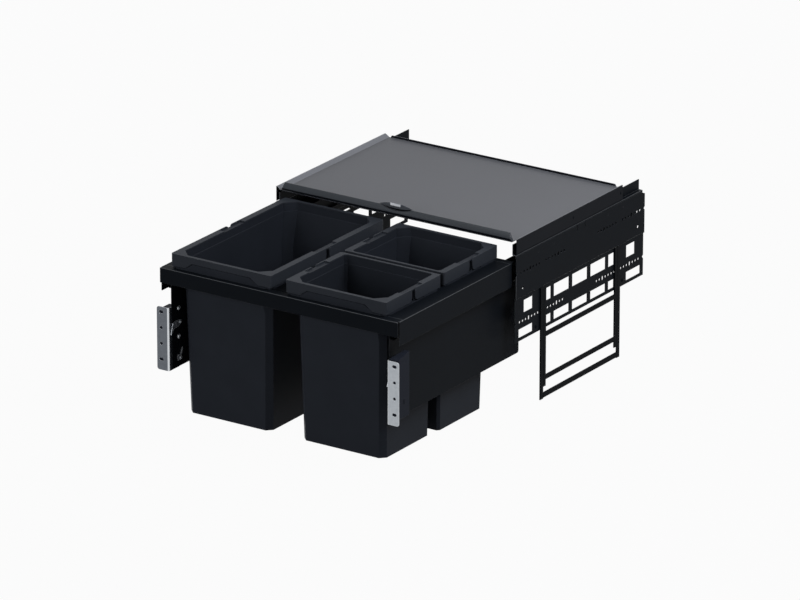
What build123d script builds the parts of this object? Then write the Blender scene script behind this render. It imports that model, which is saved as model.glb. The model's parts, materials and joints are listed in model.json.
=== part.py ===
from build123d import *
import os

os.makedirs("parts", exist_ok=True)

# A pull-out waste unit for a 600 mm kitchen base cabinet, drawn with its drawer open.
# Sizes are in millimetres. x runs right from the middle, y back from the face of the
# drawer's front rail, z up from the top of the drawer's frame. place() then moves every
# piece to the part's own origin: on the cabinet's floor, midway between the side plates
# and at the middle of their length.

# Side plates and the legs under them
half_width = 279.0
plate_sheet = 1.5
plate_top = 13.0
plate_height = 176.0
plate_length = 461.0
recess_height = 88.0
leg_thickness = 2.3
slide_gap = 0.3
floor_depth = 306.0
outer_post_width = 11.0
inner_post_width = 8.5
leg_frame_length = 286.0
inner_post_foot = 24.0
crossbar_height = 10.0
upper_crossbar_top = 171.0
lower_crossbar_top = 259.0
bottom_bar_height = 11.0
bottom_bar_lift = 1.5

# Openings and holes of the side plates, measured from the plate's middle and bottom edge
window_low_base = 6.5
window_low_height = 17.5
window_high_base = 53.5
window_high_height = 25.5
centre_window_width = 54.0
centre_window_pitch = 65.5
small_window_middle = 113.0
small_window_width = 20.0
end_window_start = 168.0
end_window_high_width = 31.0
end_window_low_width = 51.5
hole_pitch = 32.0 / 3
hole_radius = 2.5
holes_in_row = 7
outer_row_end = 213.0
inner_row_end = 125.0
high_row_height = 139.0
low_row_height = 38.0
slot_hole_length = 9.0
single_hole_radius = 3.0
clamp_gap = 12.2
clamp_height = 11.0
clamp_head_radius = 3.2
clamp_head_height = 1.8
clamp_shank_radius = 1.9
single_hole_offset = 206.0
single_hole_height = 107.0
rivet_radius = 2.0
rivet_head_radius = 3.2
rivet_head_height = 0.9
rivet_recess = 0.2
rivet_drop = 12.0
rivet_offsets = (97.0, 153.0)
v_notch_depth = 4.0
tongue_width = 26.0
tongue_slit = 2.2
tongue_depth = 12.0
plate_corner_radius = 8.0
plate_chamfer_length = 16.0
plate_chamfer_drop = 7.0

# Drawer frame
skirt_clearance = 6.0
front_rail_short = 0.5
corner_gap = 0.4
rear_rail_margin = 7.0
frame_sheet = 1.5
front_rail_height = 30.0
side_skirt_height = 48.0
skirt_front = 5.2
rail_return_height = 16.0
panel_sheet = 1.2
panel_front = 4.4
panel_overhang = 50.0
panel_depth = 203.6
panel_corner_radius = 5.0

# Runners between the drawer's panels and the side plates
drawer_travel = 388.0
runner_sheet = 1.4
runner_top = 9.0
runner_height = 32.0
runner_lip = 6.6
runner_length = 440.0
runner_width = 19.0
runner_clearance = 0.4
runner_setback = 6.0
carrier_sheet = 1.5
carrier_clearance = 0.5
carrier_drop = 60.0
carrier_foot_height = 12.0
carrier_start = 32.0

# Front fixing brackets
bracket_proud = 3.0
bracket_width = 27.3
bracket_height = 128.0
bracket_top = 77.0
bracket_sheet = 1.5
bracket_depth = 33.0
bracket_hole_pitch = 32.0
bracket_hole_edge = 10.0
bracket_hole_drop = 10.2
bracket_hole_radius = 3.1
bracket_slot_length = 9.6
bracket_bend_radius = 4.5
bracket_corner_radius = 5.0
housing_front_top = 74.0
housing_rise = 9.0
housing_height = 119.0
housing_depth = 37.0
housing_left_drop = 10.0
housing_back_width = 11.0
housing_wall = 2.0
housing_plate_gap = 0.5
housing_slot_height = 9.0
housing_slot_width = 2.6
housing_slot_drop = 161.0
lever_thickness = 1.6
pin_radius = 2.8
pin_height = 3.0
upper_pin = (31.0, -114.0)
lower_pin = (31.0, -187.0)
upper_lever = ((4, 3), (-4, 6), (-25, 4), (-27, -4), (-31, -18), (-29, -18), (-20, -9), (-8, -8), (4, -3))
lower_lever = ((3, 3), (8, 20), (6, 20), (0, 8), (-6, 9), (-11, 5), (-9, -4), (-1, -4), (4, -2))
head_radius = 4.6
head_height = 3.0
head_shank_radius = 1.7
head_drops = (85.0, 142.0)
head_y = 26.5

# Bins and their bail handles
bins_front = 11.0
bins_back = 392.0
small_bin_gap = 10.0
large_bin_overhang = 3.5
large_bin_width = 229.5
small_bin_margin = 11.5
centre_gap = 33.5
bail_top = 29.0
bail_bottom = 4.5
bail_wall = 2.4
bail_flange = 2.2
bail_side_width = 13.7
bail_end_width = 7.3
bail_division_width = 5.4
bail_corner_radius = 4.0
mouth_chamfer = 20.0
division_chamfer = 5.0
notch_width = 10.0
tail_length = 13.0
tail_bottom_radius = 9.0
tail_top_radius = 5.0
flange_stop = 34.0
pivot_radius = 3.0
pivot_clearance = 0.06
pivot_reach = 1.7
grip_cut_height = 12.0
grip_cut_margin = 30.0
grip_cut_slope = 18.0
bail_gap = 0.6
rim_gap = 0.4
rim_wall = 2.2
rest_gap = 0.3
ledge_height = 11.0
ledge_width = 0.9
ledge_drop = 0.8
mouth_draft = 0.5
body_top = 60.0
bin_wall = 2.2
bin_depth = 296.0
large_bin_left_inset = 14.0
large_bin_right_inset = 15.0
small_bin_wide_inset = 12.5
small_bin_narrow_inset = 17.0
bin_side_draft = 5.0
bin_end_inset = 18.0
bin_division_inset = 5.5
bin_end_draft = 6.0
bin_division_draft = 3.0
inner_chamfer = 16.0
outer_chamfer = 11.0
base_rim_inset = 0.4
base_rim_top = 3.5
base_rim_low_top = 1.6
base_rim_low_reach = 35.0
base_rim_chamfer = 12.0
tongue_gap = 1.1
collar_notch_margin = 1.0
opening_clearance = 0.6

# Cover that stays in the cabinet, and the tracks that it slides on
cover_gap = 5.0
cover_length = 378.0
cover_sheet = 1.2
cover_top = 40.0
cover_edge_top = 45.6
cover_edge_bottom = 16.0
cover_edge_clearance = 2.0
cover_ridge_width = 1.8
cover_bevel_width = 9.2
cover_travel = 190.0
lip_height = 16.0
lip_thickness = 6.0
lip_slope_depth = 3.5
lip_slope_height = 11.3
lip_end_gap = 0.3
lip_end_slant = 6.0
back_flange_height = 4.5
back_flange_margin = 4.0
back_flange_corner = 4.0
track_clearance = 6.7
track_sheet = 1.5
track_top = 35.0
track_start = 3.0
track_length = 452.0
track_flange_drop = 18.0
glide_length = 11.0
glide_inner = 3.0
glide_height = 16.0
glide_places = (202.0, 372.0)
cover_screw_radius = 1.5
cover_screw_head_radius = 3.0
cover_screw_head = 0.8
cover_screw_length = 5.0
cover_screw_drop = 9.3
fixing_gap = 0.05
recess_half_length = 40.6
recess_above = 6.8
recess_below = 8.6
recess_depth = 4.4
grip_half_length = 39.6
grip_above = 6.5
grip_below = 4.2
grip_lift = 1.8
grip_depth = 2.0
badge_length = 23.0
badge_height = 4.8
badge_lift = 5.0
badge_offset = -1.0
badge_thickness = 0.8

# Places that several pieces share
frame_depth = bins_back + rear_rail_margin
panel_back = frame_depth + panel_overhang
cover_front = bins_back + cover_gap
plate_front = bins_front + drawer_travel - 6.4
plate_back = plate_front + plate_length
plate_middle = plate_front + plate_length / 2
plate_bottom = plate_top - plate_height
recess_top = plate_bottom + recess_height
plate_inner = half_width - plate_sheet
lower_outer = half_width - leg_thickness - slide_gap
lower_inner = lower_outer - plate_sheet
frame_half = plate_inner - skirt_clearance
skirt_inner = frame_half - frame_sheet
carrier_outer = skirt_inner - carrier_clearance
cabinet_runner_outer = carrier_outer - carrier_sheet
panel_outer = cabinet_runner_outer - runner_width
panel_inner = panel_outer - panel_sheet
bracket_front = -bracket_proud - bracket_sheet
runner_bottom = -runner_top - runner_height
cabinet_runner_front = plate_front + runner_setback
cover_edge_outer = half_width - cover_edge_clearance
cover_wall_inner = cover_edge_outer - cover_sheet
track_inner = cover_wall_inner - track_clearance - track_sheet
cover_back = cover_front + cover_length
cover_edge_inner = cover_edge_outer - cover_ridge_width - cover_bevel_width
pivot_height = (bail_top + bail_bottom) / 2 - 1.0
pivot_offset = notch_width / 2 + tail_length
collar_inset = bail_wall + bail_gap
rim_top = bail_top - bail_flange - rim_gap
large_bin_left = panel_outer + large_bin_overhang
small_bin_right = panel_outer - small_bin_margin
small_bin_left = large_bin_width - large_bin_left + centre_gap
small_bin_width = small_bin_right - small_bin_left
small_bin_length = (bins_back - bins_front - small_bin_gap) / 2
clamp_offset = leg_frame_length / 2 + clamp_gap


def block(x0, x1, y0, y1, z0, z1):
    """A box between two corners."""
    size = (x1 - x0, y1 - y0, z1 - z0)
    return Pos(x0 + size[0] / 2, y0 + size[1] / 2, z0 + size[2] / 2) * Box(*size)


def rod(x0, x1, y, z, radius):
    """A round rod along x."""
    return Pos((x0 + x1) / 2, y, z) * Rot(0, 90, 0) * Cylinder(radius, x1 - x0)


def sheet_outline(points, x, thickness):
    """A flat sheet that faces along x, from its outline in y and z."""
    plane = Plane(origin=(x, 0, 0), x_dir=(0, 1, 0), z_dir=(1, 0, 0))
    return extrude(plane * make_face(Polyline(*points, close=True)), thickness)


def profile(points, y0, length):
    """A bar that runs along y, from its section in x and z."""
    plane = Plane(origin=(0, y0, 0), x_dir=(1, 0, 0), z_dir=(0, -1, 0))
    return extrude(plane * make_face(Polyline(*points, close=True)), -length)


def place(shape):
    """Moves a piece to the unit's own origin, on the cabinet's floor."""
    return Pos(0, -plate_middle, floor_depth) * shape


def save(name, *shapes):
    """Writes one node. Several shapes make a group of separate solids."""
    placed = [place(shape) for shape in shapes]
    export_step(placed[0] if len(placed) == 1 else Compound(children=placed), f"parts/{name}.step")


def save_pair(name, right):
    """Writes a right-hand piece and its mirror image."""
    save(f"{name}_right", right)
    save(f"{name}_left", mirror(right, Plane.YZ))


# ---------------------------------------------------------------- side plates

def both_ways(offsets):
    """Offsets from the plate's middle, and the same in front of it."""
    return [side * offset for offset in offsets for side in (-1, 1)]


def hole_row(last, slot_place, height, reach):
    """A row of small holes that ends at an offset from the middle, with one upright slot."""
    cuts = []
    for step in range(holes_in_row):
        for y in both_ways([last - step * hole_pitch]):
            centre = (reach, plate_middle + y, plate_bottom + height)
            hole = rod(-4, 4, 0, 0, hole_radius)
            if step == slot_place:
                straight = slot_hole_length - 2 * hole_radius
                hole = block(-4, 4, -hole_radius, hole_radius, -straight / 2, straight / 2)
                hole += [rod(-4, 4, 0, side * straight / 2, hole_radius) for side in (-1, 1)]
            cuts.append(Pos(*centre) * hole)
    return cuts


def window_cuts():
    """The square windows of the recessed lower half."""
    rows = (
        (window_low_base, window_low_height, end_window_low_width),
        (window_high_base, window_high_height, end_window_high_width),
    )
    cuts = []
    for base, height, end_width in rows:
        spans = [(-centre_window_width / 2, centre_window_width)]
        for middle, width in (
            (centre_window_pitch, centre_window_width),
            (small_window_middle, small_window_width),
            (end_window_start + end_width / 2, end_width),
        ):
            spans += [(y - width / 2, width) for y in both_ways([middle])]
        for start, width in spans:
            y0 = plate_middle + start
            z0 = plate_bottom + base
            cuts.append(block(lower_inner - 1, lower_outer + 1, y0, y0 + width, z0, z0 + height))
    return cuts


def fold_slots():
    """Long slots along the fold between the plate's two halves, one over each window."""
    spans = [(-centre_window_width / 2, centre_window_width)]
    for middle, width in (
        (centre_window_pitch, centre_window_width),
        (small_window_middle + 4, small_window_width + 14),
        (end_window_start + end_window_low_width / 2, end_window_low_width + 4),
    ):
        spans += [(y - width / 2, width) for y in both_ways([middle])]
    low, high = recess_top - 0.6, recess_top + plate_sheet + 0.3
    return [
        block(lower_inner - 1, half_width + 1, plate_middle + y, plate_middle + y + width, low, high)
        for y, width in spans
    ]


def side_plate():
    """Folded steel plate that is screwed to the cabinet's side. Its lower half is set in for the legs."""
    upper_points = (
        (plate_front, recess_top),
        (plate_back, recess_top),
        (plate_back, plate_top - plate_chamfer_drop),
        (plate_back - plate_chamfer_length, plate_top),
        (plate_front, plate_top),
    )
    upper = sheet_outline(upper_points, plate_inner, plate_sheet)
    front_top = upper.edges().filter_by(Axis.X).sort_by(Axis.Y)[:2].sort_by(Axis.Z)[-1]
    upper = fillet(front_top, plate_corner_radius)
    step = block(lower_inner, half_width, plate_front, plate_back, recess_top, recess_top + plate_sheet)
    lower = block(lower_inner, lower_outer, plate_front, plate_back, plate_bottom, recess_top + plate_sheet)
    plate = upper + step + lower
    cuts = window_cuts() + fold_slots()
    cuts += hole_row(outer_row_end, 3, high_row_height, half_width)
    cuts += hole_row(inner_row_end, 4, high_row_height, half_width)
    cuts += hole_row(outer_row_end, 3, low_row_height, lower_outer)
    cuts += hole_row(inner_row_end, 4, low_row_height, lower_outer)
    for y in both_ways([single_hole_offset]):
        hole = rod(plate_inner - 1, half_width + 1, 0, 0, single_hole_radius)
        cuts.append(Pos(0, plate_middle + y, plate_bottom + single_hole_height) * hole)
    for y in both_ways(rivet_offsets):
        hole = rod(plate_inner - 1, half_width + 1, 0, 0, rivet_radius + fixing_gap)
        cuts.append(Pos(0, plate_middle + y, plate_top - rivet_drop) * hole)
    for y in both_ways([clamp_offset]):
        hole = rod(lower_inner - 1, lower_outer + 1, 0, 0, clamp_shank_radius + fixing_gap)
        cuts.append(Pos(0, plate_middle + y, plate_bottom + clamp_height) * hole)
    for y in both_ways([plate_length / 2]):
        for height in (high_row_height, low_row_height):
            notch = Rot(45, 0, 0) * Box(12, v_notch_depth * 1.4, v_notch_depth * 1.4)
            cuts.append(Pos(plate_inner, plate_middle + y, plate_bottom + height) * notch)
    for side in (-1, 1):
        y0 = plate_middle + side * (tongue_width + tongue_slit) / 2 - tongue_slit / 2
        top = (plate_top - tongue_depth, plate_top + 1)
        cuts.append(block(plate_inner - 1, half_width + 1, y0, y0 + tongue_slit, *top))
    return plate - cuts


save_pair("side_plate", side_plate())


# ---------------------------------------------------------------- legs

leg_front = plate_middle - leg_frame_length / 2
leg_back = plate_middle + leg_frame_length / 2
inner_leg_front = leg_front + outer_post_width + slide_gap
inner_leg_back = leg_back - outer_post_width - slide_gap
leg_top = recess_top - slide_gap
inner_leg_bottom = -floor_depth + inner_post_foot
bottom_bar_base = -floor_depth + bottom_bar_lift


def fixed_bar(y0, y1, z0, z1):
    """A bar of the inner leg frame, flat on the side plate's recess."""
    return block(lower_outer, half_width, y0, y1, z0, z1)


def sliding_bar(y0, y1, z0, z1):
    """A bar of the outer leg frame, which slides in the recess."""
    return block(half_width - leg_thickness, half_width, y0, y1, z0, z1)


def crossbar(top):
    y0 = inner_leg_front + inner_post_width
    return fixed_bar(y0, inner_leg_back - inner_post_width, -top - crossbar_height, -top)


def clamp_screw(y):
    """Screw beside an outer post, with its head in the recess."""
    head = rod(lower_outer, lower_outer + clamp_head_height, y, 0, clamp_head_radius)
    shank = rod(lower_inner, lower_outer, y, 0, clamp_shank_radius)
    return Pos(0, plate_middle, plate_bottom + clamp_height) * (head + shank)


front_inner_post = (inner_leg_front, inner_leg_front + inner_post_width)
rear_inner_post = (inner_leg_back - inner_post_width, inner_leg_back)
save_pair("inner_leg_front_post", fixed_bar(*front_inner_post, inner_leg_bottom, leg_top))
save_pair("inner_leg_rear_post", fixed_bar(*rear_inner_post, inner_leg_bottom, leg_top))
save_pair("inner_leg_upper_bar", crossbar(upper_crossbar_top))
save_pair("inner_leg_lower_bar", crossbar(lower_crossbar_top))
front_outer_post = (leg_front, leg_front + outer_post_width)
rear_outer_post = (leg_back - outer_post_width, leg_back)
save_pair("outer_leg_front_post", sliding_bar(*front_outer_post, -floor_depth, leg_top))
save_pair("outer_leg_rear_post", sliding_bar(*rear_outer_post, -floor_depth, leg_top))
bottom_bar_span = (leg_front + outer_post_width, leg_back - outer_post_width)
bottom_bar_top = bottom_bar_base + bottom_bar_height
save_pair("outer_leg_bottom_bar", sliding_bar(*bottom_bar_span, bottom_bar_base, bottom_bar_top))
clamps = [clamp_screw(y) for y in both_ways([clamp_offset])]
save("leg_clamp_screws", *clamps, *[mirror(clamp, Plane.YZ) for clamp in clamps])


# ---------------------------------------------------------------- cover and its tracks

cover_under = cover_top - cover_sheet
back_flange_half_length = cover_edge_inner - back_flange_margin
cover_screw_z = cover_top - cover_screw_drop
glide_top = cover_under
track_web_outer = track_inner + track_sheet
lip_front = cover_front
lip_top = cover_top + lip_height
grip_z = lip_top + grip_lift


def cover_sheet_panel():
    """The cover's flat sheet with its low upturned back flange."""
    half = cover_edge_inner
    flat = block(-half, half, cover_front, cover_back, cover_under, cover_top)
    flange = block(
        -back_flange_half_length,
        back_flange_half_length,
        cover_back - cover_sheet,
        cover_back,
        cover_under,
        cover_top + back_flange_height,
    )
    corners = flange.edges().filter_by(Axis.Y).group_by(Axis.Z)[-1]
    return flat + fillet(corners, back_flange_corner)


def cover_edge():
    """The cover's side profile: a bevel up to a ridge, then a wall down outside the track."""
    inner, outer = cover_edge_inner, cover_edge_outer
    ridge = outer - cover_ridge_width
    points = (
        (inner, cover_under),
        (inner, cover_top),
        (ridge, cover_edge_top),
        (outer, cover_edge_top),
        (outer, cover_edge_bottom),
        (cover_wall_inner, cover_edge_bottom),
        (cover_wall_inner, cover_edge_top - cover_sheet),
        (ridge, cover_edge_top - cover_sheet),
    )
    edge = profile(points, cover_front, cover_length)
    holes = [
        rod(cover_wall_inner - 1, outer + 1, cover_front + y, cover_screw_z, cover_screw_radius + fixing_gap)
        for y in glide_places
    ]
    return edge - holes


def lens(half_length, above, below, depth):
    """A lens seen from the front, two arcs that meet at its ends, with its front at y = 0."""
    upper = ThreePointArc((-half_length, 0), (0, above), (half_length, 0))
    lower = ThreePointArc((half_length, 0), (0, -below), (-half_length, 0))
    plane = Plane(origin=(0, 0, 0), x_dir=(1, 0, 0), z_dir=(0, -1, 0))
    return extrude(plane * make_face([upper, lower]), -depth)


def cover_lip():
    """Bar on the cover's front edge with slanted ends and a lens-shaped finger recess."""
    half = cover_edge_inner - lip_end_gap
    points = (
        (-half, cover_top),
        (half, cover_top),
        (half - lip_end_slant, lip_top),
        (-half + lip_end_slant, lip_top),
    )
    lip_back = lip_front + lip_thickness
    section = (
        (lip_front + lip_slope_depth, lip_top),
        (lip_back, lip_top),
        (lip_back, cover_top),
        (lip_front, cover_top),
        (lip_front, lip_top - lip_slope_height),
    )
    bar = profile(points, lip_front, lip_thickness) & sheet_outline(section, -half, 2 * half)
    place = Pos(0, lip_front, grip_z)
    recess = place * lens(recess_half_length, recess_above, recess_below, recess_depth)
    seat_size = (grip_half_length + fixing_gap, grip_above + fixing_gap, grip_below + fixing_gap)
    return bar - recess - place * lens(*seat_size, recess_depth)


def cover_grip():
    """Lens-shaped insert at the back of the finger recess."""
    y0 = lip_front + recess_depth - grip_depth
    return Pos(0, y0, grip_z) * lens(grip_half_length, grip_above, grip_below, grip_depth)


def badge():
    """Blank plate on the grip insert."""
    y1 = lip_front + recess_depth - grip_depth
    z0 = lip_top + badge_lift - badge_height / 2
    x0 = badge_offset - badge_length / 2
    return block(x0, x0 + badge_length, y1 - badge_thickness, y1, z0, z0 + badge_height)


def cover_track():
    """Folded track on top of the side plate. The cover's glides ride on its upright web."""
    shelf_top = plate_top + track_sheet
    points = (
        (track_inner, plate_top),
        (track_inner, track_top),
        (track_web_outer, track_top),
        (track_web_outer, shelf_top),
        (plate_inner, shelf_top),
        (plate_inner, plate_top - track_flange_drop),
        (plate_inner - track_sheet, plate_top - track_flange_drop),
        (plate_inner - track_sheet, plate_top),
    )
    track = profile(points, plate_front + track_start, track_length)
    hole = rod(plate_inner - track_sheet - 1, plate_inner + 1, 0, 0, rivet_radius + fixing_gap)
    z = plate_top - rivet_drop
    return track - [Pos(0, plate_middle + y, z) * hole for y in both_ways(rivet_offsets)]


def cover_glide(y):
    """Plastic glide inside the cover's side, grooved for the track's upright web."""
    x0, x1 = track_inner - glide_inner, cover_wall_inner
    y0 = cover_front + y - glide_length / 2
    body = block(x0, x1, y0, y0 + glide_length, glide_top - glide_height, glide_top)
    groove_x0, groove_x1 = track_inner - slide_gap, track_web_outer + slide_gap
    groove = block(groove_x0, groove_x1, y0 - 1, y0 + glide_length + 1, 0, track_top + slide_gap)
    hole = rod(x1 - cover_screw_length, x1 + 1, cover_front + y, cover_screw_z, cover_screw_radius + fixing_gap)
    return body - [groove, hole]


def cover_screw(y):
    """Screw through the cover's side wall into a glide."""
    head = rod(cover_edge_outer, cover_edge_outer + cover_screw_head, 0, 0, cover_screw_head_radius)
    shank = rod(cover_wall_inner - cover_screw_length + slide_gap, cover_edge_outer, 0, 0, cover_screw_radius)
    return Pos(0, cover_front + y, cover_screw_z) * (head + shank)


def track_rivet(y):
    """Rivet through the side plate and the track's flange, flush with the plate outside."""
    inside = plate_inner - track_sheet
    head = rod(inside - rivet_head_height, inside, 0, 0, rivet_head_radius)
    shank = rod(inside, half_width - rivet_recess, 0, 0, rivet_radius)
    return Pos(0, plate_middle + y, plate_top - rivet_drop) * (head + shank)


save("cover_sheet", cover_sheet_panel())
save_pair("cover_edge", cover_edge())
save("cover_lip", cover_lip())
save("cover_grip", cover_grip())
save("cover_badge", badge())
save_pair("cover_track", cover_track())
glides = [cover_glide(y) for y in glide_places]
save("cover_glides", *glides, *[mirror(glide, Plane.YZ) for glide in glides])
cover_screws = [cover_screw(y) for y in glide_places]
save("cover_screws", *cover_screws, *[mirror(screw, Plane.YZ) for screw in cover_screws])
track_rivets = [track_rivet(y) for y in both_ways(rivet_offsets)]
save("track_rivets", *track_rivets, *[mirror(rivet, Plane.YZ) for rivet in track_rivets])


# ---------------------------------------------------------------- runners

flange_outer_top = -runner_top
middle_top = flange_outer_top - runner_sheet - runner_clearance
middle_bottom = runner_bottom + runner_sheet + runner_clearance
middle_inner = panel_outer + runner_sheet + runner_clearance
middle_outer = cabinet_runner_outer - runner_sheet - runner_clearance
runner_front = panel_back - runner_length


def channel(web_x, lip_x, y0, length):
    """A runner's C-section: an upright web and two flanges towards lip_x."""
    towards = 1 if lip_x > web_x else -1
    points = (
        (web_x, flange_outer_top),
        (lip_x, flange_outer_top),
        (lip_x, flange_outer_top - runner_sheet),
        (web_x + towards * runner_sheet, flange_outer_top - runner_sheet),
        (web_x + towards * runner_sheet, runner_bottom + runner_sheet),
        (lip_x, runner_bottom + runner_sheet),
        (lip_x, runner_bottom),
        (web_x, runner_bottom),
    )
    return profile(points, y0, length)


def middle_runner():
    """The runner's middle member, an I-section between the two channels."""
    y0 = runner_front + drawer_travel / 2
    web = (middle_inner + middle_outer) / 2
    upright = block(web - runner_sheet / 2, web + runner_sheet / 2, y0, y0 + runner_length, middle_bottom, middle_top)
    upper = block(middle_inner, middle_outer, y0, y0 + runner_length, middle_top - runner_sheet, middle_top)
    lower = block(middle_inner, middle_outer, y0, y0 + runner_length, middle_bottom, middle_bottom + runner_sheet)
    return upright + upper + lower


def runner_carrier():
    """Folded bracket that carries the cabinet runner. The drawer's side skirt passes outside its web."""
    foot_top = -carrier_drop
    points = (
        (cabinet_runner_outer, flange_outer_top),
        (carrier_outer, flange_outer_top),
        (carrier_outer, foot_top + carrier_sheet),
        (plate_inner, foot_top + carrier_sheet),
        (plate_inner, foot_top - carrier_foot_height),
        (plate_inner - carrier_sheet, foot_top - carrier_foot_height),
        (plate_inner - carrier_sheet, foot_top),
        (cabinet_runner_outer, foot_top),
    )
    y0 = plate_front + carrier_start
    return profile(points, y0, plate_back - carrier_start - y0)


save_pair(
    "drawer_runner",
    channel(panel_outer, panel_outer + runner_sheet + runner_lip, runner_front, runner_length),
)
save_pair("middle_runner", middle_runner())
save_pair(
    "cabinet_runner",
    channel(
        cabinet_runner_outer,
        cabinet_runner_outer - runner_sheet - runner_lip,
        cabinet_runner_front,
        runner_length,
    ),
)
save_pair("runner_carrier", runner_carrier())


# ---------------------------------------------------------------- drawer frame

bin_opening_side = small_bin_wide_inset - opening_clearance
bin_opening_end = bail_end_width + opening_clearance
opening_front = bins_front + bin_opening_end
opening_back = bins_back - bin_opening_end
left_opening = large_bin_left - bin_opening_side
right_opening = small_bin_right - bin_opening_side
centre_left = -large_bin_left + large_bin_width - bin_opening_side
centre_right = small_bin_left + bin_opening_side


def cross_rail(y_face, y_opening, half_length):
    """Folded rail across the drawer: an outer face, a flat top and a short return at the bins."""
    inwards = 1 if y_opening > y_face else -1
    face_y = sorted((y_face, y_face + inwards * frame_sheet))
    top_y = sorted((y_face, y_opening))
    return_y = sorted((y_opening, y_opening - inwards * frame_sheet))
    top_half = skirt_inner - corner_gap
    return_half = panel_inner - corner_gap
    face = block(-half_length, half_length, *face_y, -front_rail_height, 0)
    top = block(-top_half, top_half, *top_y, -frame_sheet, 0)
    lower_return = block(-return_half, return_half, *return_y, -rail_return_height, 0)
    return face + top + lower_return


def side_rail(opening):
    """Folded rail along the drawer's side: a flat top, an outer skirt and a short return."""
    top = block(opening, frame_half, opening_front, opening_back, -frame_sheet, 0)
    skirt_back = frame_depth - 2 * skirt_front
    skirt = block(skirt_inner, frame_half, skirt_front, skirt_back, -side_skirt_height, 0)
    lower_return = block(
        opening, opening + frame_sheet, opening_front, opening_back, -rail_return_height, 0
    )
    return top + skirt + lower_return


def centre_rail():
    """Channel between the large bin and the two small ones."""
    top = block(centre_left, centre_right, opening_front, opening_back, -frame_sheet, 0)
    for x0 in (centre_left, centre_right - frame_sheet):
        top += block(x0, x0 + frame_sheet, opening_front, opening_back, -rail_return_height, 0)
    return top


def panel_fixings():
    """Places of the screws and lever pins on the panel's inner face: y and z."""
    return [(head_y, -drop) for drop in head_drops] + [upper_pin, lower_pin]


def side_panel():
    """Flat steel side of the drawer. Its lower corners are rounded."""
    panel = block(panel_inner, panel_outer, panel_front, panel_back, -panel_depth, -frame_sheet)
    lower_corners = panel.edges().filter_by(Axis.X).group_by(Axis.Z)[0]
    panel = fillet(lower_corners, panel_corner_radius)
    return panel - [
        rod(panel_inner - 1, panel_outer + 1, y, z, head_shank_radius + fixing_gap)
        for y, z in panel_fixings()
    ]


save("front_rail", cross_rail(0, opening_front, frame_half - front_rail_short))
save("rear_rail", cross_rail(frame_depth, opening_back, panel_inner - corner_gap))
save("centre_rail", centre_rail())
save("side_rail_right", side_rail(right_opening))
save("side_rail_left", mirror(side_rail(left_opening), Plane.YZ))
save_pair("side_panel", side_panel())


# ---------------------------------------------------------------- front fixing brackets

bracket_outer = panel_outer + bracket_width
bracket_flange_outer = panel_outer + bracket_sheet
bracket_hole_x = bracket_outer - bracket_hole_edge
bracket_bottom = -bracket_top - bracket_height
housing_outer = lower_inner - housing_plate_gap
housing_bottom = -housing_front_top - housing_height
housing_front = bracket_front + bracket_sheet
housing_back = housing_front + housing_depth


def bracket_hole(step):
    """Screw holes of the front bracket: slots at the ends, round between them."""
    z = -bracket_top - bracket_hole_drop - step * bracket_hole_pitch
    hole = Rot(90, 0, 0) * Cylinder(bracket_hole_radius, 3 * bracket_sheet)
    if step in (0, 3):
        straight = bracket_slot_length - 2 * bracket_hole_radius
        ends = [Pos(side * straight / 2, 0, 0) * hole for side in (-1, 1)]
        hole = Box(straight, 3 * bracket_sheet, 2 * bracket_hole_radius) + ends
    return Pos(bracket_hole_x, bracket_front + bracket_sheet / 2, z) * hole


def fixing_bracket():
    """Angle on the panel's outer face. The cabinet's front is screwed to its plate."""
    y1 = bracket_front + bracket_sheet
    plate = block(panel_outer, bracket_outer, bracket_front, y1, bracket_bottom, -bracket_top)
    outer_corners = plate.edges().filter_by(Axis.Y).group_by(Axis.X)[-1]
    plate = fillet(outer_corners, bracket_corner_radius)
    flange = block(panel_outer, bracket_flange_outer, bracket_front, y1 + bracket_depth, bracket_bottom, -bracket_top)
    angle = plate + flange
    upright_edges = angle.edges().filter_by(Axis.Z)
    outer_bend = upright_edges.group_by(Axis.X)[0].sort_by(Axis.Y)[0]
    angle = fillet(outer_bend, bracket_bend_radius)
    inner_bend = angle.edges().filter_by(Axis.Z).filter_by_position(
        Axis.X, bracket_flange_outer - 0.01, bracket_flange_outer + 0.01
    ).sort_by(Axis.Y)[0]
    angle = fillet(inner_bend, bracket_bend_radius - bracket_sheet)
    cuts = [bracket_hole(step) for step in range(4)]
    for y, z in panel_fixings():
        cuts.append(rod(panel_outer - 1, bracket_flange_outer + 1, y, z, head_shank_radius + fixing_gap))
    return angle - cuts


def housing_plan(wall, reach, base, height):
    """The housing's plan, narrower at the back, inside a wall. It reaches out at the panel's side."""
    inner = bracket_flange_outer + bracket_bend_radius - bracket_sheet
    points = (
        (inner - reach, housing_front + wall),
        (housing_outer - wall, housing_front + wall),
        (housing_outer - wall, housing_back - wall),
        (housing_outer - housing_back_width - reach, housing_back - wall),
    )
    face = Plane(origin=(0, 0, base)) * make_face(Polyline(*points, close=True))
    return extrude(face, height)


def bracket_housing(drop, rise):
    """Ribbed plastic cover over the bracket's fittings, open towards the panel. Its top rises to the back."""
    height = housing_height - drop
    top = housing_bottom + height
    shell = housing_plan(0, 0, housing_bottom, height + rise)
    if rise:
        above = ((housing_front, top), (housing_back, top + rise), (housing_front, top + rise))
        shell -= sheet_outline(above, panel_outer, housing_outer + 1 - panel_outer)
    cells = 3
    cell = (height - (cells + 1) * housing_wall) / cells
    for step in range(cells):
        base = housing_bottom + housing_wall + step * (cell + housing_wall)
        shell -= housing_plan(housing_wall, housing_depth, base, cell)
    slot_y = (housing_front + housing_back) / 2
    return shell - block(
        housing_outer - housing_wall - 1,
        housing_outer + 1,
        slot_y - housing_slot_width / 2,
        slot_y + housing_slot_width / 2,
        -housing_slot_drop - housing_slot_height / 2,
        -housing_slot_drop + housing_slot_height / 2,
    )


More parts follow.
